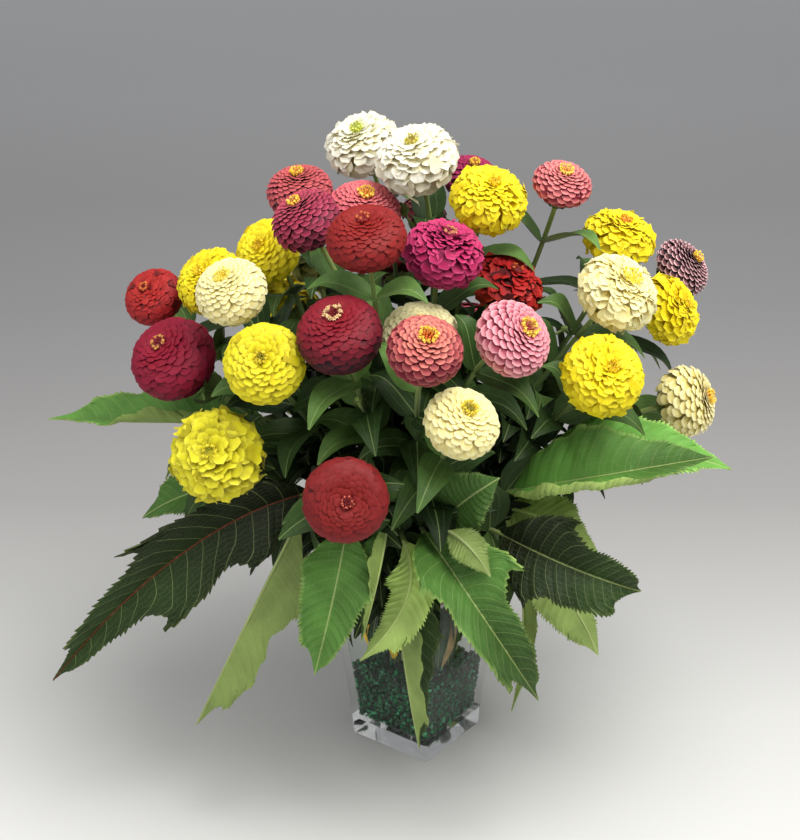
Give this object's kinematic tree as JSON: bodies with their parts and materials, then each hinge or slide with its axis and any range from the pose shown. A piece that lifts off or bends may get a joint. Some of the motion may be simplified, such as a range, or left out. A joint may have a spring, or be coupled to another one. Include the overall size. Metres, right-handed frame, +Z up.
{
  "type": "zinnia bouquet in a glass vase",
  "caption": "Cut zinnias of several colours with large cut-edged leaves, standing in a flared square clear glass vase of water over green glass chips.",
  "frame": {"origin": "middle of the vase's square foot, on the surface that it stands on", "axes": "+Z up; -Y is the bouquet's front, from which the red bloom, the cream bloom and the front leaf hang forward; +X to the right seen from the front"},
  "size_m": [0.5645, 0.4277, 0.5521],
  "materials": {
    "petals_ivory": "matte",
    "petals_cream": "matte",
    "petals_yellow": "matte",
    "petals_lemon": "matte",
    "petals_red": "matte",
    "petals_orange_red": "matte",
    "petals_crimson": "matte",
    "petals_magenta": "matte",
    "petals_rose": "matte",
    "petals_coral": "matte",
    "petals_pink": "matte",
    "stem_green": "satin",
    "leaf_green": "satin",
    "vase_glass": "polished",
    "water": "polished",
    "green_glass_chips": "polished"
  },
  "bodies": {
    "root": {"bloom_back_cream": "petals_cream", "bloom_back_red": "petals_red", "bloom_back_rose": "petals_rose", "bloom_back_yellow": "petals_yellow", "bloom_coral_back": "petals_coral", "bloom_cream_behind": "petals_cream", "bloom_cream_far_right": "petals_cream", "bloom_cream_left": "petals_ivory", "bloom_cream_low": "petals_cream", "bloom_cream_right": "petals_cream", "bloom_crimson": "petals_crimson", "bloom_crimson_left": "petals_crimson", "bloom_crimson_pink": "petals_rose", "bloom_dusty_pink": "petals_pink", "bloom_lemon": "petals_lemon", "bloom_magenta": "petals_magenta", "bloom_magenta_back": "petals_magenta", "bloom_orange_red": "petals_orange_red", "bloom_pink_back": "petals_rose", "bloom_pink_high": "petals_coral", "bloom_pink_light": "petals_pink", "bloom_red_left": "petals_red", "bloom_red_low": "petals_red", "bloom_red_top": "petals_red", "bloom_rose": "petals_rose", "bloom_salmon": "petals_coral", "bloom_white_back": "petals_ivory", "bloom_white_front": "petals_ivory", "bloom_yellow_behind": "petals_yellow", "bloom_yellow_inner_left": "petals_yellow", "bloom_yellow_left": "petals_yellow", "bloom_yellow_low_left": "petals_yellow", "bloom_yellow_lower_right": "petals_yellow", "bloom_yellow_right": "petals_yellow", "bloom_yellow_top": "petals_yellow", "bloom_yellow_upper_left": "petals_yellow", "bloom_yellow_upper_right": "petals_yellow", "glass_chips": "green_glass_chips", "leaf_back": "leaf_green", "leaf_back_left": "leaf_green", "leaf_back_right": "leaf_green", "leaf_behind_vase": "leaf_green", "leaf_centre_right": "leaf_green", "leaf_far_left": "leaf_green", "leaf_folded_left": "leaf_green", "leaf_front": "leaf_green", "leaf_hanging": "leaf_green", "leaf_low_left": "leaf_green", "leaf_lower_right": "leaf_green", "leaf_pale_centre": "leaf_green", "leaf_right": "leaf_green", "stems_back": "stem_green", "stems_front": "stem_green", "stems_front_left": "stem_green", "stems_front_right": "stem_green", "stems_left": "stem_green", "stems_middle": "stem_green", "stems_right": "stem_green", "vase": "vase_glass", "water": "water"}
  },
  "joints": []
}
